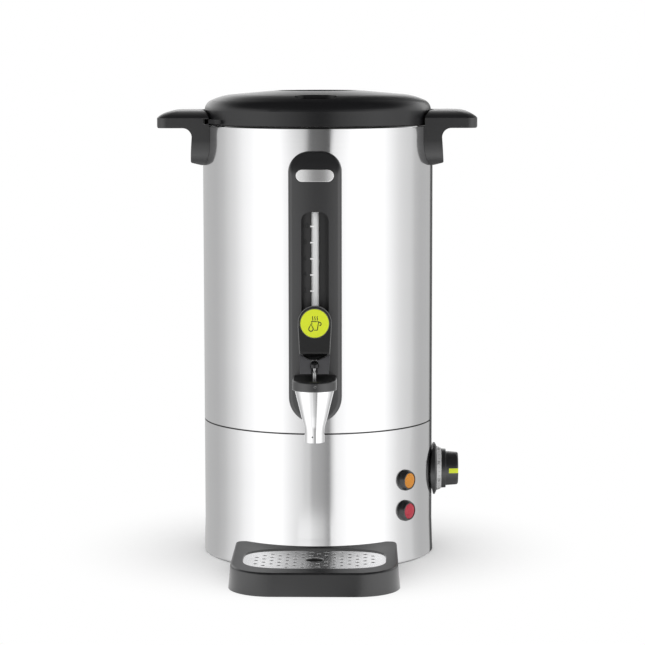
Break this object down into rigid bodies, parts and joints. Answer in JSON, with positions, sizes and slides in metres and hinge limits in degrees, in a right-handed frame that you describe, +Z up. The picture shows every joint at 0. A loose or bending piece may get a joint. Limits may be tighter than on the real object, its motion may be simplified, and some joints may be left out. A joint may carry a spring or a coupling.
{
  "type": "hot water urn",
  "caption": "Free-standing hot drinks urn: steel tank, twist-off lid, sight tube, push-lever tap, thermostat knob, lamps and drip tray.",
  "frame": {"origin": "on the tank's axis, at the level of the surface that the urn stands on", "axes": "+Z up along the tank, -Y towards the tap and the drip tray, +X towards the thermostat knob"},
  "size_m": [0.299, 0.335, 0.4395],
  "materials": {
    "body_steel": "satin polished",
    "polished_steel": "polished",
    "black_plastic": "fine satin",
    "lid_plastic": "fine satin",
    "plain_steel": "plain",
    "aluminium": "satin",
    "glass": "clear",
    "silicone": "matt",
    "black_rubber": "matt",
    "yellow_green": "gloss",
    "amber": "translucent",
    "red": "translucent",
    "white_plastic": "plain"
  },
  "bodies": {
    "urn_body": {"tank": "body_steel", "base_skirt": "body_steel", "base_moulding": "black_plastic", "foot_ring": "black_rubber", "tie_rods": "plain_steel", "tie_nuts": "plain_steel", "heat_spreader": "aluminium", "heating_element": "plain_steel", "boil_dry_cutout": "plain_steel", "capillary_bulb": "plain_steel", "thermostat_body": "black_plastic", "thermostat_screws": "plain_steel", "knob_bezel": "black_plastic", "dial_ring": "aluminium", "cord_gland": "black_plastic", "gland_nut": "black_plastic", "terminal_block": "white_plastic", "tap_panel": "black_plastic", "badge_plate": "aluminium", "panel_screws": "plain_steel", "sight_tube": "glass", "tube_seal_lower": "silicone", "tube_seal_upper": "silicone", "tap_body": "black_plastic", "tank_nipple": "plain_steel", "outlet_nut": "plain_steel", "outlet_seal": "silicone", "spout": "polished_steel", "spout_pin": "plain_steel", "valve_seat": "white_plastic", "stem_spring": "plain_steel", "lever_pin": "plain_steel", "right_handle": "black_plastic", "left_handle": "black_plastic", "handle_screws": "plain_steel", "handle_seals": "silicone", "amber_lamp_bezel": "black_plastic", "amber_lamp_lens": "amber", "amber_lamp_nut": "black_plastic", "red_lamp_bezel": "black_plastic", "red_lamp_lens": "red", "red_lamp_nut": "black_plastic"},
    "knob": {"knob": "black_plastic", "knob_pointer": "yellow_green", "thermostat_spindle": "plain_steel"},
    "lever": {"lever": "black_plastic", "lever_badge": "yellow_green"},
    "valve": {"valve_stem": "polished_steel", "valve_washer": "silicone", "stem_head": "black_plastic"},
    "lid_seal": {"lid_gasket": "silicone"},
    "lid": {"lid": "lid_plastic", "lid_liner": "plain_steel", "liner_screws": "plain_steel"},
    "tray": {"drip_tray": "black_plastic"},
    "grid": {"drip_grid": "body_steel"}
  },
  "joints": [
    {"name": "lid_lift", "type": "slide", "parent": "urn_body", "child": "lid_seal", "axis": [0, 0, 1], "range_m": [0, 0.12]},
    {"name": "lid_turn", "type": "hinge", "parent": "lid_seal", "child": "lid", "pos_m": [0, 0, 0.41], "axis": [0, 0, -1], "range_deg": [0, 16]},
    {"name": "lever_press", "type": "hinge", "parent": "urn_body", "child": "lever", "pos_m": [0, -0.1335, 0.199], "axis": [-1, 0, 0], "range_deg": [0, 10], "stiffness_Nm_per_rad": 0.15},
    {"name": "stem_lift", "type": "slide", "parent": "urn_body", "child": "valve", "axis": [0, 0, 1], "range_m": [0, 0.0036], "deforming": ["stem_spring"]},
    {"name": "knob_turn", "type": "hinge", "parent": "urn_body", "child": "knob", "pos_m": [0.118, 0, 0.0773], "axis": [-1, 0, 0], "range_deg": [-60, 210]},
    {"name": "tray_slide", "type": "slide", "parent": "urn_body", "child": "tray", "axis": [0, -1, 0], "range_m": [0, 0.12]},
    {"name": "grid_lift", "type": "slide", "parent": "tray", "child": "grid", "axis": [0, 0, 1], "range_m": [0, 0.06]}
  ],
  "couplings": [
    {"joint": "stem_lift", "follows": "lever_press", "m_per_rad": 0.0205}
  ]
}
